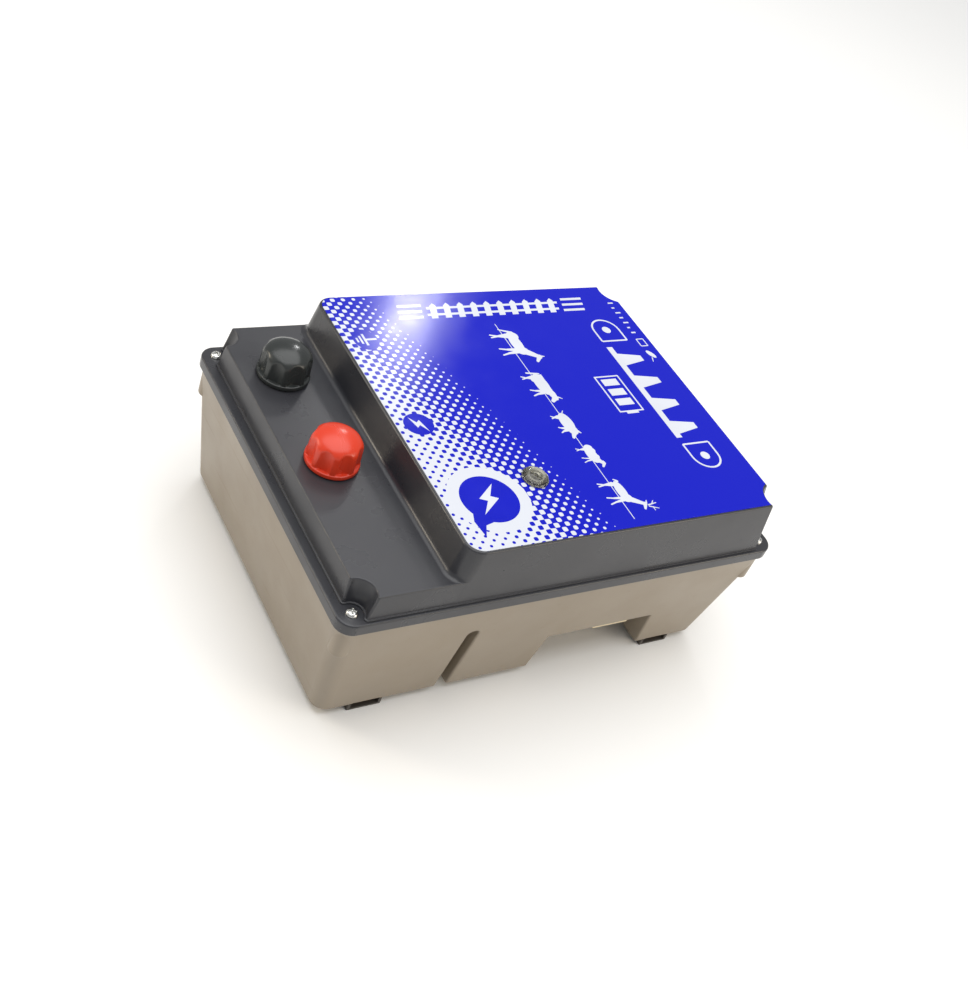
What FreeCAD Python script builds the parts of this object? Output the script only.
"""Fence energizer: a two-part plastic case with its terminals, label, indicator and electronics.

Frame: +X along the length of the case, -Y towards the side with the cable notch, +Z up.
The origin is on the resting plane under the middle of the case. Millimetres.
"""
import FreeCAD, Part
import math
import os
import re
import Sketcher

Vector = FreeCAD.Vector

SIZES = {
    # case outline and levels above the resting plane
    "case_length": 300.0, "case_width": 221.0, "case_corner": 10.0,
    "floor_level": 5.2, "shoulder_level": 86.4, "skirt_level": 86.7, "rim_level": 89.5,
    "shelf_level": 91.0, "flange_level": 94.0, "deck_level": 110.5, "plateau_level": 131.4,
    # insets of the case walls from the outer edge of the flange
    "tub_bottom_inset": 11.7, "tub_top_inset": 1.75, "tub_corner": 9.0,
    "side_bottom_inset": 2.6, "side_top_inset": 4.1,
    "left_bottom_inset": 6.5, "left_deck_inset": 8.0,
    "right_bottom_inset": 5.5, "right_top_inset": 13.2,
    "plateau_left_bottom": 59.0, "plateau_left_top": 65.9,
    "deck_corner": 8.0, "plateau_corner": 10.0,
    # wall thicknesses and edge rounding
    "tub_wall": 3.0, "lid_wall": 2.5, "lip_inset": 2.6, "skirt_wall": 2.3,
    "edge_round": 1.2, "flange_round": 1.2, "tub_round": 2.0, "slot_round": 1.2, "post_round": 0.6,
    "plinth_height": 1.0, "plinth_step": 0.8, "gasket_margin": 0.3,
    # lid screws and the hollows and posts around them
    "screw_inset": 9.0, "hollow_radius": 7.2, "hollow_top_radius": 12.9, "hollow_wall": 2.4,
    "post_radius": 5.9, "post_level": 65.7, "post_core_radius": 5.2,
    "screw_head_radius": 3.5, "screw_head_height": 2.4, "screw_shank_radius": 1.6,
    "screw_length": 22.0, "screw_clearance": 0.2, "thread_gap": 0.05,
    # cross recess as shares of the head's radius and height
    "cross_reach": 1.2, "cross_width": 0.28, "cross_floor": 0.45,
    # cable slot and cable notch in the front wall
    "slot_x": -57.25, "slot_width": 7.5, "slot_depth": 13.0, "slot_level": 63.0,
    "notch_left": 4.0, "notch_right": 89.5, "notch_left_top": 5.4, "notch_right_top": 83.5,
    "notch_depth": 40.0, "notch_level": 37.8,
    "recess_wall": 3.0, "cut_margin": 5.0,
    # strap loops under the case, used as feet
    "loop_x": 106.3, "loop_y": 91.5, "loop_length": 22.0, "loop_depth": 14.0,
    "loop_gap": 18.0, "loop_bar": 1.4, "loop_rise": 7.0, "loop_round": 0.6,
    # terminals on the deck
    "terminal_x": -117.6, "red_y": -9.9, "black_y": 63.1,
    "stud_radius": 4.0, "stud_bottom": 96.0, "stud_top": 126.0, "stud_clearance": 0.05,
    "bush_radius": 6.0, "bush_flange": 9.0, "bush_flange_height": 1.5,
    "plate_radius": 12.0, "plate_height": 1.0, "washer_radius": 13.0, "washer_height": 1.2,
    "washer_bore": 4.3, "nut_across": 13.0, "nut_height": 6.0, "lug_height": 1.2, "lug_radius": 7.0,
    "lug_reach": 18.0, "barrel_radius": 2.9,
    "knob_gap": 0.8, "knob_radius": 15.75, "knob_height": 20.6, "knob_rim": 2.6, "knob_step": 0.8,
    "knob_waist": 15.2, "knob_shoulder": 14.7, "knob_recess": 13.6, "knob_recess_height": 1.5,
    "insert_radius": 6.0, "insert_height": 11.0, "knob_cap": 3.0, "knob_round": 8.0,
    "flute_count": 8.0, "flute_radius": 8.1, "flute_reach": 21.3,
    # label, indicator and its board
    "label_inset": 1.2, "label_height": 0.4, "lens_x": -18.8, "lens_y": -59.8,
    "lens_radius": 8.25, "lens_height": 3.6, "lens_stem": 5.0, "lens_stem_length": 4.5,
    "pilot_board_side": 26.0, "pilot_board_level": 116.0, "pilot_post_reach": 9.0,
    "pilot_post_radius": 2.6, "pilot_thread_radius": 0.95, "pilot_thread_length": 7.5,
    "pilot_hole_radius": 1.2, "pilot_head_radius": 2.0, "pilot_head_height": 1.4,
    "led_radius": 2.5, "led_height": 7.0, "stem_gap": 0.1,
    # main circuit board
    "board_left": -128.0, "board_length": 256.0, "board_front": -81.5, "board_width": 169.5,
    "board_level": 45.0, "board_height": 1.6, "support_x": 118.0, "support_front": -74.0,
    "support_back": 78.0, "support_radius": 4.5, "board_hole_radius": 1.7,
    "board_thread_radius": 1.45, "board_thread_depth": 11.0, "board_head_radius": 3.0,
    "board_head_height": 2.0, "board_screw_length": 10.0,
    # pulse transformer
    "core_x": 70.0, "core_y": 30.0, "core_length": 78.0, "core_depth": 38.0, "core_height": 65.0,
    "core_limb": 13.0, "bobbin_wall": 1.2, "coil_reach": 11.5, "core_gap": 0.3,
    "cheek_height": 1.5, "tag_length": 50.0, "tag_height": 10.0,
    # socket for the supply lead, under the front edge of the notch
    "socket_left": 43.0, "socket_length": 26.5, "socket_front": -99.0, "socket_depth": 15.0,
    "socket_bottom": 31.5, "socket_wall": 2.0, "socket_pocket": 8.0, "pin_radius": 1.2,
    "socket_gap": 0.2,
    # insulated leads between the terminals and the transformer
    "lead_radius": 1.9,
}

doc = FreeCAD.newDocument("fence_energizer")
sheet = doc.addObject("Spreadsheet::Sheet", "sizes")
for row, (alias, number) in enumerate(SIZES.items(), start=1):
    sheet.set("A%d" % row, alias)
    sheet.set("B%d" % row, str(number))
    sheet.setAlias("B%d" % row, alias)
doc.recompute()

nodes = []


# ---------------------------------------------------------------- helpers

def sized(text):
    """Turn sheet aliases in a formula into references to the sheet."""
    return re.sub(r"[a-z_]+", lambda word: ("sizes." if word.group() in SIZES else "") + word.group(),
                  str(text))


def amount(text):
    """Number that a formula gives with the sheet's present sizes."""
    return float(sheet.evalExpression(sized(text)))


def bind(item, **formulas):
    for name, text in formulas.items():
        item.setExpression(name, sized(text))
    return item


def place(item, x=0, y=0, z=0):
    for axis, text in zip("xyz", (x, y, z)):
        item.setExpression("Placement.Base." + axis, sized(text))
    return item


def keep(item, label):
    """Name a finished sub-part and list it for export."""
    item.Label = label
    nodes.append(item)
    return item


def box(name, size, low):
    item = doc.addObject("Part::Box", name)
    bind(item, Length=size[0], Width=size[1], Height=size[2])
    return place(item, *low)


def cylinder(name, radius, height, low):
    item = doc.addObject("Part::Cylinder", name)
    bind(item, Radius=radius, Height=height)
    return place(item, *low)


def lying_cylinder(name, radius, length, low, turn):
    """Cylinder along +X (turn about Y) or along +Y (turn about -X)."""
    item = doc.addObject("Part::Cylinder", name)
    item.Placement.Rotation = FreeCAD.Rotation(turn, 90)
    bind(item, Radius=radius, Height=length)
    return place(item, *low)


def cone(name, low_radius, high_radius, height, low):
    item = doc.addObject("Part::Cone", name)
    bind(item, Radius1=low_radius, Radius2=high_radius, Height=height)
    return place(item, *low)


def torus(name, ring_radius, tube_radius, centre):
    item = doc.addObject("Part::Torus", name)
    bind(item, Radius1=ring_radius, Radius2=tube_radius)
    return place(item, *centre)


def prism(name, flats, height, low):
    """Hexagonal bar by its width across flats."""
    item = doc.addObject("Part::Prism", name)
    item.Polygon = 6
    bind(item, Circumradius="(%s) / 2 / cos(30)" % flats, Height=height)
    return place(item, *low)


def fuse(name, shapes):
    item = doc.addObject("Part::MultiFuse", name)
    item.Shapes = shapes
    item.Refine = True
    return item


def group(name, shapes):
    item = doc.addObject("Part::Compound", name)
    item.Links = shapes
    return item


def cut(name, base, tools):
    item = doc.addObject("Part::Cut", name)
    item.Base = base
    item.Tool = tools[0] if len(tools) == 1 else fuse(name + "_tools", tools)
    item.Refine = True
    return item


def fillet(name, base, rules):
    """Round the edges of base; each rule is (formula of the radius, test of an edge)."""
    doc.recompute()
    item = doc.addObject("Part::Fillet", name)
    item.Base = base
    rounded = []
    for number, edge in enumerate(base.Shape.Edges, start=1):
        for radius, wanted in rules:
            if wanted(edge):
                rounded.append((number, amount(radius), amount(radius)))
                break
    item.Edges = rounded
    return item


def at_level(edge, level):
    return edge.BoundBox.ZMin > level - 0.01 and edge.BoundBox.ZMax < level + 0.01


def pin_point(sketch, element, end, x, y):
    """Fix one end of a sketch element at formulas x and y."""
    for kind, axis, text in (("DistanceX", -2, x), ("DistanceY", -1, y)):
        if abs(amount(text)) < 1e-9:
            sketch.addConstraint(Sketcher.Constraint("PointOnObject", element, end, axis))
            continue
        number = sketch.addConstraint(Sketcher.Constraint(kind, -1, 1, element, end, amount(text)))
        sketch.setExpression("Constraints[%d]" % number, sized(text))


def outline(sketch, points):
    """Closed polygon through points given as pairs of formulas."""
    corners = [Vector(amount(x), amount(y), 0) for x, y in points]
    following = corners[1:] + corners[:1]
    sketch.addGeometry([Part.LineSegment(a, b) for a, b in zip(corners, following)], False)
    count = len(points)
    for number, (x, y) in enumerate(points):
        sketch.addConstraint(Sketcher.Constraint("Coincident", number, 2, (number + 1) % count, 1))
        pin_point(sketch, number, 1, x, y)
    return sketch


def rounded_rectangle(sketch, west, east, south, north, radius):
    """Rectangle with tangent corner arcs; its sides and radius are formulas."""
    w, e, s, n, r = [amount(text) for text in (west, east, south, north, radius)]
    up = Vector(0, 0, 1)
    lines = [
        Part.LineSegment(Vector(w + r, s, 0), Vector(e - r, s, 0)),
        Part.LineSegment(Vector(e, s + r, 0), Vector(e, n - r, 0)),
        Part.LineSegment(Vector(e - r, n, 0), Vector(w + r, n, 0)),
        Part.LineSegment(Vector(w, n - r, 0), Vector(w, s + r, 0)),
    ]
    centres = ((e - r, s + r, -90), (e - r, n - r, 0), (w + r, n - r, 90), (w + r, s + r, 180))
    arcs = []
    for x, y, start in centres:
        circle = Part.Circle(Vector(x, y, 0), up, r)
        arcs.append(Part.ArcOfCircle(circle, math.radians(start), math.radians(start + 90)))
    sketch.addGeometry(lines + arcs, False)
    for side in range(4):
        sketch.addConstraint(Sketcher.Constraint("Tangent", side, 2, side + 4, 1))
        sketch.addConstraint(Sketcher.Constraint("Tangent", side + 4, 2, (side + 1) % 4, 1))
    for side in (5, 6, 7):
        sketch.addConstraint(Sketcher.Constraint("Equal", 4, side))
    number = sketch.addConstraint(Sketcher.Constraint("Radius", 4, r))
    sketch.setExpression("Constraints[%d]" % number, sized(radius))
    sketch.addConstraint(Sketcher.Constraint("Horizontal", 0))
    sketch.addConstraint(Sketcher.Constraint("Vertical", 1))
    sides = (("DistanceY", 0, south), ("DistanceX", 1, east), ("DistanceY", 2, north),
             ("DistanceX", 3, west))
    for kind, side, text in sides:
        number = sketch.addConstraint(Sketcher.Constraint(kind, -1, 1, side, 1, amount(text)))
        sketch.setExpression("Constraints[%d]" % number, sized(text))
    return sketch


def case_section(name, level, west_inset, east_inset, side_inset, radius):
    """Rounded section of the case, given by its insets from the flange's edges."""
    sketch = doc.addObject("Sketcher::SketchObject", name)
    rounded_rectangle(
        sketch,
        "-case_length / 2 + (%s)" % west_inset, "case_length / 2 - (%s)" % east_inset,
        "-case_width / 2 + (%s)" % side_inset, "case_width / 2 - (%s)" % side_inset, radius)
    return place(sketch, z=level)


def plain_section(name, level, west, east_inset, side_inset):
    """Sharp-cornered section of the lid's raised part; its corners vanish in the screw hollows."""
    sketch = doc.addObject("Sketcher::SketchObject", name)
    south = "-case_width / 2 + (%s)" % side_inset
    north = "case_width / 2 - (%s)" % side_inset
    west_line = "-case_length / 2 + (%s)" % west
    east_line = "case_length / 2 - (%s)" % east_inset
    outline(sketch, [(west_line, south), (east_line, south), (east_line, north), (west_line, north)])
    return place(sketch, z=level)


def loft(name, low, high):
    item = doc.addObject("Part::Loft", name)
    item.Sections = [low, high]
    item.Solid = True
    item.Ruled = True
    return item


def slab(name, section, height):
    item = doc.addObject("Part::Extrusion", name)
    item.Base = section
    item.DirMode = "Normal"
    item.Solid = True
    return bind(item, LengthFwd=height)


def corners(name, make):
    """One solid at each lid screw; make(name, x, y) builds it."""
    solids = []
    for side_x, sign_x in (("west", "-"), ("east", "")):
        for side_y, sign_y in (("south", "-"), ("north", "")):
            x = "%s(case_length / 2 - screw_inset)" % sign_x
            y = "%s(case_width / 2 - screw_inset)" % sign_y
            solids.append(make("%s_%s_%s" % (name, side_x, side_y), x, y))
    return solids


def body_sketch(body, name, role):
    """Sketch on one of the body's own origin planes."""
    plane = [item for item in body.Origin.OriginFeatures if item.Role == role][0]
    sketch = body.newObject("Sketcher::SketchObject", name)
    sketch.AttachmentSupport = [(plane, "")]
    sketch.MapMode = "FlatFace"
    return sketch


def turned(label, points, x, y, z):
    """Body turned about a vertical axis; points are (radius, height) formulas."""
    body = doc.addObject("PartDesign::Body", label)
    sketch = outline(body_sketch(body, label + "_profile", "XZ_Plane"), points)
    turn = body.newObject("PartDesign::Revolution", label + "_turn")
    turn.Profile = sketch
    turn.ReferenceAxis = (sketch, ["V_Axis"])
    turn.Angle = 360
    body.Tip = turn
    place(body, x, y, z)
    return body


# ---------------------------------------------------------------- case

def base_tub():
    """Tapered tub with a lip for the lid, screw posts, cable recesses and grooves over the strap loops."""
    west = "tub_bottom_inset"
    outer = loft(
        "tub_outer",
        case_section("tub_foot", "floor_level", west, west, west, "tub_corner"),
        case_section("tub_head", "shoulder_level", "tub_top_inset", "tub_top_inset", "tub_top_inset",
                     "tub_corner"))
    rounded = fillet("tub_rounded", outer,
                     [("tub_round", lambda edge: at_level(edge, amount("floor_level")))])
    lip = slab(
        "tub_lip",
        case_section("lip_section", "shoulder_level", "lip_inset", "lip_inset", "lip_inset", "tub_corner"),
        "rim_level - shoulder_level")
    bottom = "tub_bottom_inset + tub_wall"
    top = "tub_top_inset + tub_wall"
    cavity = loft(
        "tub_cavity_loft",
        case_section("cavity_foot", "floor_level + tub_wall", bottom, bottom, bottom,
                     "tub_corner - tub_wall"),
        case_section("cavity_head", "rim_level", top, top, top, "tub_corner - tub_wall"))
    posts = corners("tub_post", screw_post)
    posts += corners("tub_post_core", lambda name, x, y: cylinder(
        name, "post_core_radius", "rim_level - post_level", (x, y, "post_level")))
    slot_reach = "tub_bottom_inset + slot_depth"
    notch_reach = "tub_bottom_inset + notch_depth"
    slot_block = box(
        "slot_block",
        ("slot_width + 2 * recess_wall", slot_reach + " + recess_wall",
         "slot_level + recess_wall - floor_level"),
        ("slot_x - slot_width / 2 - recess_wall", "-case_width / 2", "floor_level"))
    notch_block = box(
        "notch_block",
        ("notch_right - notch_left + 2 * recess_wall", notch_reach + " + recess_wall",
         "notch_level + recess_wall - floor_level"),
        ("notch_left - recess_wall", "-case_width / 2", "floor_level"))
    supports = []
    for index, (x, y) in enumerate(board_points()):
        supports.append(cylinder(
            "support_%d" % index, "support_radius", "board_level - floor_level", (x, y, "floor_level")))
    kept_inside = fuse("kept_inside", posts + [slot_block, notch_block] + supports)
    cavity_clear = cut("tub_cavity", cavity, [kept_inside])
    ahead = "-case_width / 2 - cut_margin"
    slot = box(
        "slot_space",
        ("slot_width", slot_reach + " + cut_margin",
         "slot_level - slot_width / 2 - floor_level + cut_margin"),
        ("slot_x - slot_width / 2", ahead, "floor_level - cut_margin"))
    slot_arch = lying_cylinder(
        "slot_arch", "slot_width / 2", slot_reach + " + cut_margin",
        ("slot_x", ahead, "slot_level - slot_width / 2"), Vector(-1, 0, 0))
    notch = notch_space("-case_width / 2 + " + notch_reach, notch_reach + " + cut_margin")
    socket_hole = box(
        "socket_hole",
        ("socket_length + 2 * socket_gap", "socket_depth + 2 * socket_gap", "recess_wall + cut_margin"),
        ("socket_left - socket_gap", "socket_front - socket_gap", "notch_level - cut_margin / 2"))
    pilots = corners("tub_pilot", lambda name, x, y: cylinder(
        name, "screw_shank_radius + thread_gap", "screw_length + 2",
        (x, y, "flange_level - screw_length - 2")))
    board_pilots = []
    for index, (x, y) in enumerate(board_points()):
        board_pilots.append(cylinder(
            "board_pilot_%d" % index, "board_thread_radius", "board_thread_depth + 1",
            (x, y, "board_level - board_thread_depth")))
    walls = fuse("tub_walls", [rounded, lip] + posts)
    loop_spaces = each_loop("floor_groove", loop_space)
    tools = [cavity_clear, slot, slot_arch, notch, socket_hole] + pilots + board_pilots + loop_spaces
    hollowed = cut("tub_hollowed", walls, tools)
    keep(fillet("base_tub", hollowed, [
        ("slot_round", on_front_wall),
        ("post_round", is_post_foot),
    ]), "base_tub")


def notch_space(back, depth):
    """Space of the cable notch: narrower at its roof, running forward from the plane y = back."""
    sketch = doc.addObject("Sketcher::SketchObject", "notch_section")
    sketch.Placement.Rotation = FreeCAD.Rotation(Vector(1, 0, 0), 90)
    below = "floor_level - cut_margin"
    outline(sketch, [
        ("notch_left", below), ("notch_right", below), ("notch_right", "floor_level"),
        ("notch_right_top", "notch_level"), ("notch_left_top", "notch_level"), ("notch_left", "floor_level")])
    return slab("notch_space", place(sketch, y=back), depth)


def screw_post(name, x, y):
    """Post round a lid screw; the seam of its surface is turned into the tub."""
    post = cylinder(name, "post_radius", "shoulder_level - post_level", (x, y, "post_level"))
    if "east" in name:
        post.Placement.Rotation = FreeCAD.Rotation(Vector(0, 0, 1), 180)
    return post


def on_front_wall(edge):
    """True for the rims of the slot and the notch, which lie in the sloping front wall."""
    beyond_slot = edge.BoundBox.XMin < amount("slot_x - slot_width")
    beyond_notch = edge.BoundBox.XMax > amount("notch_right + slot_round")
    starts_at_slot = edge.BoundBox.XMin < amount("notch_left - 1")
    between = starts_at_slot and edge.BoundBox.XMax > amount("slot_x + slot_width")
    if beyond_slot or beyond_notch or between:
        return False
    slope = amount("(tub_bottom_inset - tub_top_inset) / (shoulder_level - floor_level)")
    foot = amount("-case_width / 2 + tub_bottom_inset")
    return all(abs(point.Y - foot + slope * (point.Z - amount("floor_level"))) < 0.05
               for point in edge.Vertexes)


def is_post_foot(edge):
    """True for the arc where a screw post ends on the outside of the tub."""
    curve = edge.Curve
    if not at_level(edge, amount("post_level")) or curve.TypeId != "Part::GeomCircle":
        return False
    middle = edge.BoundBox.Center
    outside = abs(middle.x) + abs(middle.y) > amount("(case_length + case_width) / 2 - 2 * screw_inset")
    return outside and abs(curve.Radius - amount("post_radius")) < 0.01


def board_points():
    """Fixing points of the main circuit board."""
    return [
        ("-support_x", "support_front"), ("support_x", "support_front"),
        ("-support_x", "support_back"), ("support_x", "support_back"),
        ("0", "support_back"), ("-20", "support_front"),
    ]


def each_loop(name, make):
    """One solid at each strap loop; make(name, sign of x, sign of y) builds it."""
    return [make("%s_%s_%s" % (name, west_east, south_north), sign_x, sign_y)
            for west_east, sign_x in (("west", "-"), ("east", ""))
            for south_north, sign_y in (("south", "-"), ("north", ""))]


def loop_space(name, sign_x, sign_y):
    return box(
        name, ("loop_gap", "loop_depth + 4 * cut_margin", "loop_rise - loop_bar"),
        ("%sloop_x - loop_gap / 2" % sign_x, "%sloop_y - loop_depth / 2 - 2 * cut_margin" % sign_y,
         "loop_bar"))


def strap_loops():
    """Rectangular loops under the tub's edge, which are its feet."""
    def loop(name, sign_x, sign_y):
        block = box(
            name + "_block", ("loop_length", "loop_depth", "floor_level"),
            ("%sloop_x - loop_length / 2" % sign_x, "%sloop_y - loop_depth / 2" % sign_y, 0))
        rounded = fillet(name + "_rounded", block, [("loop_round", lambda edge: (
            edge.BoundBox.ZLength > 1 or edge.BoundBox.ZMax < 0.1))])
        return cut(name, rounded, [loop_space(name + "_gap", sign_x, sign_y)])

    keep(group("strap_loops", each_loop("loop", loop)), "strap_loops")


def lid_cover():
    """Lid with a skirt, a low deck for the terminals and a raised plateau for the label."""
    flange = fillet(
        "flange",
        slab("flange_slab", case_section("flange_section", "skirt_level", 0, 0, 0, "case_corner"),
             "flange_level - skirt_level"),
        [("flange_round", lambda edge: at_level(edge, amount("flange_level")))])
    deck_share = "(deck_level - flange_level) / (plateau_level - flange_level)"
    deck_side = "side_bottom_inset + (side_top_inset - side_bottom_inset) * %s" % deck_share
    deck = loft(
        "deck_loft",
        plain_section("deck_foot", "flange_level", "left_bottom_inset", "case_length / 2",
                      "side_bottom_inset"),
        plain_section("deck_head", "deck_level", "left_deck_inset", "case_length / 2", deck_side))
    plateau_block = loft(
        "plateau_loft",
        plain_section("plateau_foot", "flange_level", "plateau_left_bottom", "right_bottom_inset",
                      "side_bottom_inset"),
        plain_section("plateau_head", "plateau_level", "plateau_left_top", "right_top_inset",
                      "side_top_inset"))
    plateau = fillet("plateau_rounded", plateau_block, [("plateau_corner", lambda edge: (
        edge.BoundBox.ZLength > 1 and edge.BoundBox.XMax < 0))])
    hollows = corners("hollow", lambda name, x, y: cone(
        name, "hollow_radius", "hollow_top_radius", "plateau_level - flange_level + 2",
        (x, y, "flange_level")))
    raised = cut("raised", fuse("raised_block", [deck, plateau]), hollows)
    smooth = fillet("raised_smooth", raised,
                    [("edge_round", lambda edge: at_level(edge, amount("plateau_level")))])
    plinth_slab = slab(
        "plinth_slab",
        case_section("plinth_section", "flange_level", "left_bottom_inset - plinth_step",
                     "right_bottom_inset - plinth_step", "side_bottom_inset - plinth_step", "deck_corner"),
        "plinth_height")
    plinth = cut("plinth", plinth_slab, corners("plinth_hollow", lambda name, x, y: cylinder(
        name, "hollow_radius - plinth_step", "plinth_height + 2", (x, y, "flange_level - 1"))))
    rim_space = slab(
        "rim_space", case_section("rim_space_section", "skirt_level - 1", "skirt_wall", "skirt_wall",
                                  "skirt_wall",
                                  "case_corner - skirt_wall"),
        "shelf_level - skirt_level + 1")
    thick = " + lid_wall"
    deck_space = loft(
        "deck_space",
        plain_section("deck_space_foot", "shelf_level", "left_bottom_inset" + thick, "case_length / 2",
                      "side_bottom_inset" + thick),
        plain_section("deck_space_head", "deck_level - lid_wall", "left_deck_inset" + thick,
                      "case_length / 2",
                      deck_side + thick))
    plateau_space_block = loft(
        "plateau_space",
        plain_section("plateau_space_foot", "shelf_level", "plateau_left_bottom" + thick,
                      "right_bottom_inset" + thick, "side_bottom_inset" + thick),
        plain_section("plateau_space_head", "plateau_level - lid_wall", "plateau_left_top" + thick,
                      "right_top_inset" + thick, "side_top_inset" + thick))
    plateau_space = fillet("plateau_space_rounded", plateau_space_block, [("plateau_corner", lambda edge: (
        edge.BoundBox.ZLength > 1 and edge.BoundBox.XMax < 0))])
    sleeves = corners("sleeve", lambda name, x, y: cone(
        name, "hollow_radius + hollow_wall", "hollow_top_radius + hollow_wall",
        "plateau_level - shelf_level + 2", (x, y, "shelf_level")))
    pilot_posts = [
        cylinder("pilot_post_" + side, "pilot_post_radius",
                 "plateau_level - pilot_board_level - board_height",
                 (x, "lens_y", "pilot_board_level + board_height"))
        for side, x in pilot_points()]
    space = cut("lid_space", fuse("lid_space_block", [deck_space, plateau_space]), sleeves + pilot_posts)
    screw_holes = corners("lid_hole", lambda name, x, y: cylinder(
        name, "screw_shank_radius + screw_clearance", "deck_level - skirt_level", (x, y, "skirt_level - 2")))
    terminal_holes = [
        cylinder("terminal_hole_" + colour, "bush_radius + stud_clearance", "lid_wall + 4",
                 ("terminal_x", colour + "_y", "deck_level - lid_wall - 2"))
        for colour in ("red", "black")]
    lens_hole = cylinder("lens_hole", "lens_stem + stem_gap", "lid_wall + 4",
                         ("lens_x", "lens_y", "plateau_level - lid_wall - 2"))
    post_pilots = [
        cylinder("post_pilot_" + side, "pilot_thread_radius", "pilot_thread_length - 0.5",
                 (x, "lens_y", "pilot_board_level"))
        for side, x in pilot_points()]
    holes = [lens_hole] + screw_holes + terminal_holes + post_pilots
    outside = fuse("lid_outside", [flange, smooth, plinth])
    keep(cut("lid_cover", outside, [rim_space, space] + holes), "lid_cover")


def pilot_points():
    """Side names and x positions of the two fixing points of the indicator board."""
    return [("west", "lens_x - pilot_post_reach"), ("east", "lens_x + pilot_post_reach")]


def lid_gasket():
    """Rubber ring lying on the lip of the tub."""
    outer_inset = "lip_inset + gasket_margin"
    inner_inset = "tub_top_inset + tub_wall - gasket_margin"
    outer = slab(
        "gasket_outer",
        case_section("gasket_outer_section", "rim_level", outer_inset, outer_inset, outer_inset,
                     "tub_corner"),
        "shelf_level - rim_level")
    inner = slab(
        "gasket_inner",
        case_section("gasket_inner_section", "rim_level - 1", inner_inset, inner_inset, inner_inset,
                     "tub_corner - tub_wall / 2"),
        "shelf_level - rim_level + 2")
    keep(cut("lid_gasket", outer, [inner]), "lid_gasket")


def cross_screw(name, x, y, seat, head_radius, head_height, shank_radius, length):
    """Pan-head screw with a cross recess, its head seated at the level seat."""
    head = cylinder(name + "_head", head_radius, head_height, (x, y, seat))
    shank = cylinder(name + "_shank", shank_radius, "(%s) + 0.5" % length,
                     (x, y, "(%s) - (%s)" % (seat, length)))
    solid = fuse(name + "_solid", [head, shank])
    reach = "(%s) * cross_reach" % head_radius
    width = "(%s) * cross_width" % head_radius
    drop = "(%s) + (%s) * cross_floor" % (seat, head_height)
    bars = []
    for number, (size_x, size_y) in enumerate(((reach, width), (width, reach))):
        low = ("(%s) - (%s) / 2" % (x, size_x), "(%s) - (%s) / 2" % (y, size_y), drop)
        bars.append(box("%s_bar_%d" % (name, number), (size_x, size_y, head_height), low))
    return cut(name, solid, bars)


def lid_screws():
    screws = corners("lid_screw", lambda name, x, y: cross_screw(
        name, x, y, "flange_level", "screw_head_radius", "screw_head_height", "screw_shank_radius",
        "screw_length"))
    keep(group("lid_screws", screws), "lid_screws")


# ---------------------------------------------------------------- label and indicator

def label_panel():
    """Thin printed panel over the plateau, cut back around the corner hollows and the lens."""
    sheet_slab = slab(
        "label_slab",
        case_section("label_section", "plateau_level", "plateau_left_top + label_inset",
                     "right_top_inset + label_inset", "side_top_inset + label_inset",
                     "plateau_corner - label_inset"),
        "label_height")
    notches = corners("label_notch", lambda name, x, y: cylinder(
        name, "hollow_top_radius + label_inset", "label_height + 2", (x, y, "plateau_level - 1")))
    lens_hole = cylinder("label_lens_hole", "lens_stem + stem_gap", "label_height + 2",
                         ("lens_x", "lens_y", "plateau_level - 1"))
    keep(cut("label_panel", sheet_slab, notches + [lens_hole]), "label_panel")


def indicator_lens():
    """Clear domed button with a stem through the plateau."""
    seat = "plateau_level + label_height"
    points = [
        ("0", "-lens_stem_length"), ("lens_stem", "-lens_stem_length"), ("lens_stem", "0"),
        ("lens_radius", "0"),
        ("lens_radius", "lens_height * 0.45"), ("lens_radius * 0.86", "lens_height * 0.8"),
        ("lens_radius * 0.5", "lens_height"), ("0", "lens_height"),
    ]
    keep(turned("indicator_lens", points, "lens_x", "lens_y", seat), "indicator_lens")


def indicator_led():
    """Round lamp under the lens, on the indicator board."""
    seat = "pilot_board_level + board_height"
    body = cylinder("led_body", "led_radius", "led_height - led_radius", ("lens_x", "lens_y", seat))
    dome = doc.addObject("Part::Sphere", "led_dome")
    bind(dome, Radius="led_radius")
    place(dome, "lens_x", "lens_y", seat + " + led_height - led_radius")
    keep(fuse("indicator_led", [body, dome]), "indicator_led")


def indicator_board():
    """Small board hung from two posts under the plateau, with its screws."""
    depth = "pilot_board_side * 0.7"
    plate = box("pilot_plate", ("pilot_board_side", depth, "board_height"),
                ("lens_x - pilot_board_side / 2", "lens_y - %s / 2" % depth, "pilot_board_level"))
    holes = [
        cylinder("pilot_hole_" + side, "pilot_hole_radius", "board_height + 2",
                 (x, "lens_y", "pilot_board_level - 1"))
        for side, x in pilot_points()]
    keep(cut("indicator_board", plate, holes), "indicator_board")
    screws = []
    for side, x in pilot_points():
        head = cylinder("pilot_screw_head_" + side, "pilot_head_radius", "pilot_head_height",
                        (x, "lens_y", "pilot_board_level - pilot_head_height"))
        shank = cylinder("pilot_screw_shank_" + side, "pilot_thread_radius - thread_gap",
                         "pilot_thread_length",
                         (x, "lens_y", "pilot_board_level - 1"))
        screws.append(fuse("pilot_screw_" + side, [head, shank]))
    keep(group("indicator_board_screws", screws), "indicator_board_screws")


# ---------------------------------------------------------------- terminals

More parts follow.
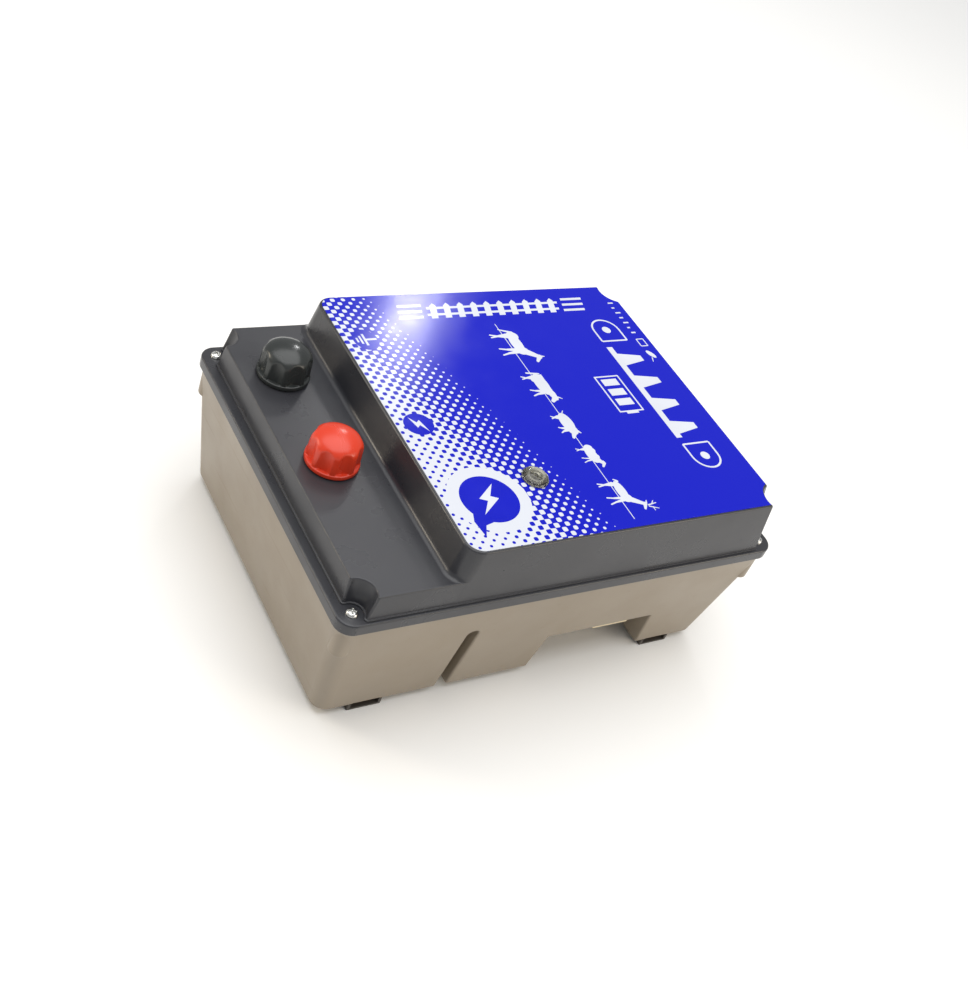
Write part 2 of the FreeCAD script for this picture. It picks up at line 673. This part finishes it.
def terminal_knob(colour):
    """Fluted clamp knob with a recess for its washer and a blind bore for the stud."""
    label = colour + "_knob"
    points = [
        ("knob_recess", "0"), ("knob_radius", "0"), ("knob_radius", "knob_rim"),
        ("knob_waist", "knob_rim + knob_step"),
        ("knob_shoulder", "knob_height"), ("0", "knob_height"), ("0", "knob_height - knob_cap"),
        ("insert_radius", "knob_height - knob_cap"), ("insert_radius", "knob_recess_height"),
        ("knob_recess", "knob_recess_height"),
    ]
    body = turned(label, points, "terminal_x", colour + "_y", "deck_level + knob_gap")
    doc.recompute()
    turn = body.Tip
    rim = ["Edge%d" % number for number, edge in enumerate(turn.Shape.Edges, start=1)
           if at_level(edge, amount("knob_height"))]
    rounding = body.newObject("PartDesign::Fillet", label + "_round")
    rounding.Base = (turn, rim)
    rounding.setExpression("Radius", sized("knob_round"))
    body.Tip = rounding
    flute = body_sketch(body, label + "_flute", "XY_Plane")
    flute.setExpression("AttachmentOffset.Base.z", sized("knob_rim + knob_step"))
    flute.addGeometry(Part.Circle(Vector(amount("flute_reach"), 0, 0), Vector(0, 0, 1),
                                  amount("flute_radius")), False)
    pin_point(flute, 0, 3, "flute_reach", "0")
    number = flute.addConstraint(Sketcher.Constraint("Radius", 0, amount("flute_radius")))
    flute.setExpression("Constraints[%d]" % number, sized("flute_radius"))
    pocket = body.newObject("PartDesign::Pocket", label + "_pocket")
    pocket.Profile = flute
    pocket.Reversed = True
    bind(pocket, Length="knob_height")
    pattern = body.newObject("PartDesign::PolarPattern", label + "_flutes")
    pattern.Originals = [pocket]
    pattern.Axis = (flute, ["N_Axis"])
    pattern.Angle = 360
    pattern.setExpression("Occurrences", sized("flute_count"))
    body.Tip = pattern
    keep(body, label)


def terminal(colour):
    """Knob, captive washer, stud and the fixed pieces that hold the stud in the deck."""
    y = colour + "_y"
    bore = "stud_radius + stud_clearance"
    washer_base = "deck_level + plate_height"
    insert_base = "deck_level + knob_gap + knob_recess_height"
    bush_low = "deck_level - lid_wall - bush_flange_height"
    lug_low = bush_low + " - lug_height"
    nut_low = lug_low + " - nut_height"

    def upright(name, radius, height, low):
        return cylinder("%s_%s" % (colour, name), radius, height, ("terminal_x", y, low))

    def bored(name, shape, radius):
        """Finished piece with a hole on the stud's axis."""
        hole = upright(name + "_hole", radius, "stud_top", 0)
        keep(cut("%s_%s_bored" % (colour, name), shape, [hole]), "%s_%s" % (colour, name))

    terminal_knob(colour)
    bored("knob_insert", upright("insert", "insert_radius - stud_clearance", "insert_height", insert_base),
          bore)
    bored("clamp_washer", upright("washer", "washer_radius", "washer_height", washer_base), "washer_bore")
    bored("contact_plate", upright("plate", "plate_radius", "plate_height", "deck_level"), bore)
    keep(upright("stud", "stud_radius", "stud_top - stud_bottom", "stud_bottom"), colour + "_terminal_stud")
    sleeve = upright("sleeve", "bush_radius", "lid_wall + bush_flange_height", bush_low)
    collar = upright("collar", "bush_flange", "bush_flange_height", bush_low)
    bored("terminal_bush", fuse(colour + "_bush_block", [sleeve, collar]), bore)
    eye = upright("eye", "lug_radius", "lug_height", lug_low)
    tongue = box(colour + "_tongue", ("lug_reach - barrel_radius", "2 * barrel_radius", "lug_height"),
                 ("terminal_x", y + " - barrel_radius", lug_low))
    barrel = lying_cylinder(
        colour + "_barrel", "barrel_radius", "2 * barrel_radius",
        ("terminal_x + lug_reach - 2 * barrel_radius", y, lug_low + " + lug_height - barrel_radius"),
        Vector(0, 1, 0))
    bored("ring_lug", fuse(colour + "_lug_block", [eye, tongue, barrel]), "washer_bore")
    nut = prism(colour + "_nut", "nut_across", "nut_height", ("terminal_x", y, nut_low))
    bored("stud_nut", nut, bore)


def lead(colour, start_y, end_y):
    """Insulated lead from the ring lug to the tag block: straight runs with tangent arcs.

    It leaves the lug level, dips under the deck, climbs beside the transformer and ends level.
    """
    level = amount("deck_level - lid_wall - bush_flange_height - barrel_radius")
    start_x = amount("terminal_x + lug_reach")
    tag_x = amount("core_x - 25")
    tag_level = amount("board_level + board_height + core_height + 6")
    middle_y = (start_y + end_y) / 2
    route = [
        Vector(start_x, start_y, level), Vector(start_x + 30, start_y, level),
        Vector(start_x + 68, start_y, level - 2),
        Vector(-5, middle_y, tag_level - 6), Vector(tag_x - 24, end_y, tag_level),
        Vector(tag_x, end_y, tag_level),
    ]
    edges = []
    begin = route[0]
    for before, corner, after in zip(route, route[1:], route[2:]):
        arrive = (corner - before).normalize()
        leave = (after - corner).normalize()
        half_turn = arrive.getAngle(leave) / 2
        reach = 0.45 * min((corner - before).Length, (after - corner).Length)
        radius = reach / math.tan(half_turn)
        inward = (leave - arrive).normalize()
        middle = corner + inward * (radius / math.cos(half_turn) - radius)
        edges.append(Part.LineSegment(begin, corner - arrive * reach).toShape())
        edges.append(Part.Arc(corner - arrive * reach, middle, corner + leave * reach).toShape())
        begin = corner + leave * reach
    edges.append(Part.LineSegment(begin, route[-1]).toShape())
    path = Part.Wire(edges)
    ring = Part.Wire([Part.Circle(route[0], Vector(1, 0, 0), amount("lead_radius")).toShape()])
    item = doc.addObject("Part::Feature", colour + "_lead")
    item.Shape = path.makePipeShell([ring], True, False)
    keep(item, colour + "_high_voltage_lead")


# ---------------------------------------------------------------- electronics

# Cans that stand on the main board: radius, height and the positions of their axes.
CANS = {
    "storage_capacitors": (17.5, 52, ((10, -32), (10, 8), (10, 48))),
    "filter_capacitors": (6.5, 25, ((84, -48), (100, -48), (116, -48))),
}
# Blocks on the main board: length, depth, height, then west edge, south edge and height above the board.
BLOCKS = {
    "converter_transformer": (34, 28, 26, -108, 20, 0),
    "rectifier_bridge": (20, 6, 17, -66, -42, 0),
    "sink_spine": (44, 3, 38, -72, 60, 0),
    "thyristor_case": (10, 4.5, 9, -55, 55.5, 12),
    "chip_case": (26, 6.4, 3.4, -112, -50, 0.6),
    "west_clip": (5, 8, 9, 35, -76, 0),
    "east_clip": (5, 8, 9, 48, -76, 0),
}
# Rows of equal blocks: the first block as above, then the number in the row and the step along X.
ROWS = {
    "sink_fins": (1.6, 14, 38, -72, 62.5, 0, 7, 7.06),
    "thyristor_legs": (0.8, 0.6, 12.5, -52.9, 57.4, 0, 3, 2.54),
    "front_chip_pins": (0.6, 0.7, 2.6, -111, -50.6, 0, 10, 2.54),
    "back_chip_pins": (0.6, 0.7, 2.6, -111, -43.7, 0, 10, 2.54),
}
# Lying cylinders along X: radius, length, then west end, y and height of the axis above the board.
TUBES = {
    "fuse_tube": (2.5, 20, 34, -72, 7),
    "fuse_seat": (2.6, 20, 34, -72, 7),
    "power_resistor": (2.6, 17, -110, -30, 3),
}
RESISTOR_COUNT = 4
RESISTOR_STEP = 9
# Toroidal inductor: ring radius, core radius, winding radius, then x, y and height above the board.
INDUCTOR = (14, 5, 7.5, -52, 10, 8.5)
# Surge arrester, a disc facing the front: radius, thickness, then x, front face and height of its axis.
ARRESTER = (7, 5, 66, -76, 7)
BOARD_TOP = "board_level + board_height"


def on_board(rise):
    return "%s + %s" % (BOARD_TOP, rise)


def board_block(name):
    length, depth, height, west, south, rise = BLOCKS[name]
    return box(name + "_block", (length, depth, height), (west, south, on_board(rise)))


def board_row(name):
    length, depth, height, west, south, rise, count, step = ROWS[name]
    return [box("%s_%d" % (name, index), (length, depth, height),
                (west + step * index, south, on_board(rise)))
            for index in range(count)]


def board_tube(name, turn=Vector(0, 1, 0), shift=0):
    radius, length, west, y, rise = TUBES[name]
    return lying_cylinder("%s_%d" % (name, shift), radius, length, (west, y + shift, on_board(rise)), turn)


def main_circuit_board():
    """Board on six posts, with its screws."""
    plate = box("board_plate", ("board_length", "board_width", "board_height"),
                ("board_left", "board_front", "board_level"))
    holes = []
    screws = []
    for index, (x, y) in enumerate(board_points()):
        holes.append(cylinder("board_hole_%d" % index, "board_hole_radius", "board_height + 2",
                              (x, y, "board_level - 1")))
        screws.append(cross_screw(
            "board_screw_%d" % index, x, y, BOARD_TOP, "board_head_radius", "board_head_height",
            "board_thread_radius - thread_gap", "board_screw_length"))
    keep(cut("main_circuit_board", plate, holes), "main_circuit_board")
    keep(group("board_screws", screws), "board_screws")


def pulse_transformer():
    """Laminated core with two windows, a bobbin and a coil on its middle limb, and a tag block."""
    low_x = "core_x - core_length / 2"
    low_y = "core_y - core_depth / 2"
    window_height = "core_height - 2 * core_limb"
    window_low = BOARD_TOP + " + core_limb"
    block = box("core_block", ("core_length", "core_depth", "core_height"), (low_x, low_y, BOARD_TOP))
    windows = [
        box("core_window_" + side, ("core_limb", "core_depth + 2", window_height),
            (x, low_y + " - 1", window_low))
        for side, x in (("west", low_x + " + core_limb"), ("east", "core_x + core_limb"))]
    keep(cut("core", block, windows), "transformer_core")

    def ring_box(name, margin, height, base):
        """Block round the middle limb, wider than it by a margin on every side."""
        size_x = "2 * core_limb + 2 * (%s)" % margin
        size_y = "core_depth + 2 * (%s)" % margin
        low = ("core_x - (%s) / 2" % size_x, "core_y - (%s) / 2" % size_y, base)
        return box(name, (size_x, size_y, height), low)

    low = window_low + " + core_gap"
    height = window_height + " - 2 * core_gap"
    tube = ring_box("bobbin_tube", "core_gap + bobbin_wall", height, low)
    cheek = "core_gap + bobbin_wall + coil_reach - 1"
    cheeks = [
        ring_box("bobbin_cheek_low", cheek, "cheek_height", low),
        ring_box("bobbin_cheek_high", cheek, "cheek_height", low + " + " + height + " - cheek_height")]
    limb_space = ring_box("limb_space", "core_gap", height + " + 4", low + " - 2")
    keep(cut("bobbin", fuse("bobbin_block", [tube] + cheeks), [limb_space]), "transformer_bobbin")
    coil_height = height + " - 2 * cheek_height - core_gap"
    coil_block = ring_box("coil_block", cheek + " - 0.5", coil_height,
                          low + " + cheek_height + core_gap / 2")
    coil_space = ring_box("coil_space", "core_gap + bobbin_wall + 0.1", height + " + 4", low + " - 2")
    keep(cut("coil", coil_block, [coil_space]), "transformer_coil")
    tag_size = ("tag_length", "core_depth", "tag_height")
    tag_low = ("core_x - tag_length / 2", low_y, BOARD_TOP + " + core_height")
    keep(box("tag_block", tag_size, tag_low), "transformer_tag_block")


def board_parts():
    """Components soldered on the main board."""
    for label, (radius, height, points) in CANS.items():
        cans = [cylinder("%s_%d" % (label, index), radius, height, (x, y, BOARD_TOP))
                for index, (x, y) in enumerate(points)]
        keep(group(label, cans), label)
    for label in ("converter_transformer", "rectifier_bridge"):
        keep(board_block(label), label)
    keep(fuse("heat_sink", [board_block("sink_spine")] + board_row("sink_fins")), "heat_sink")
    thyristor = [board_block("thyristor_case")] + board_row("thyristor_legs")
    keep(fuse("thyristor", thyristor), "discharge_thyristor")
    chip = [board_block("chip_case")] + board_row("front_chip_pins") + board_row("back_chip_pins")
    keep(fuse("chip", chip), "control_chip")
    ring, core, winding, x, y, rise = INDUCTOR
    centre = (x, y, on_board(rise))
    keep(torus("inductor_ring", ring, core, centre), "inductor_core")
    wound = [torus("inductor_outer", ring, winding, centre),
             torus("inductor_space", ring, core + 0.1, centre)]
    keep(cut("inductor_wound", wound[0], wound[1:]), "inductor_winding")
    resistors = [board_tube("power_resistor", shift=RESISTOR_STEP * index)
                 for index in range(RESISTOR_COUNT)]
    keep(group("power_resistors", resistors), "power_resistors")
    keep(board_tube("fuse_tube"), "fuse_tube")
    clips = []
    for name in ("west_clip", "east_clip"):
        seat = board_tube("fuse_seat")
        clips.append(cut(name, board_block(name), [seat]))
    keep(group("fuse_clips", clips), "fuse_clips")
    radius, thickness, x, y, rise = ARRESTER
    keep(lying_cylinder("arrester", radius, thickness, (x, y, on_board(rise)), Vector(-1, 0, 0)),
         "surge_arrester")


def supply_socket():
    """Two-pole socket let into the roof of the cable notch, open downwards."""
    block = box("socket_block", ("socket_length", "socket_depth", "board_level - socket_bottom"),
                ("socket_left", "socket_front", "socket_bottom"))
    pocket = box("socket_pocket_space", ("socket_length - 2 * socket_wall", "socket_depth - 2 * socket_wall",
                                         "socket_pocket + 1"),
                 ("socket_left + socket_wall", "socket_front + socket_wall", "socket_bottom - 1"))
    keep(cut("socket", block, [pocket]), "supply_socket")
    pins = [cylinder("supply_pin_%d" % index, "pin_radius", "socket_pocket - 1",
                     ("socket_left + socket_length * %s" % share, "socket_front + socket_depth / 2",
                      "socket_bottom + 1"))
            for index, share in enumerate((0.3, 0.7))]
    keep(group("supply_pins", pins), "supply_pins")


# ---------------------------------------------------------------- build, check and write

base_tub()
strap_loops()
lid_cover()
lid_gasket()
lid_screws()
label_panel()
indicator_lens()
indicator_led()
indicator_board()
for colour_name in ("red", "black"):
    terminal(colour_name)
main_circuit_board()
pulse_transformer()
lead("red", amount("red_y"), amount("core_y - 10"))
lead("black", amount("black_y"), amount("core_y + 10"))
board_parts()
supply_socket()
doc.recompute()

failed = [item.Name for item in doc.Objects if "Invalid" in item.State or "Error" in item.State]
if failed:
    raise RuntimeError("objects that failed: %s" % failed)
for node in nodes:
    if node.Shape.isNull() or not node.Shape.isValid() or not node.Shape.Solids:
        raise RuntimeError("bad shape: " + node.Label)

os.makedirs("parts", exist_ok=True)
for node in nodes:
    node.Shape.exportStep("parts/%s.step" % node.Label)
    print("%-26s %9.1f mm3, %d solid(s)" % (node.Label, node.Shape.Volume, len(node.Shape.Solids)))
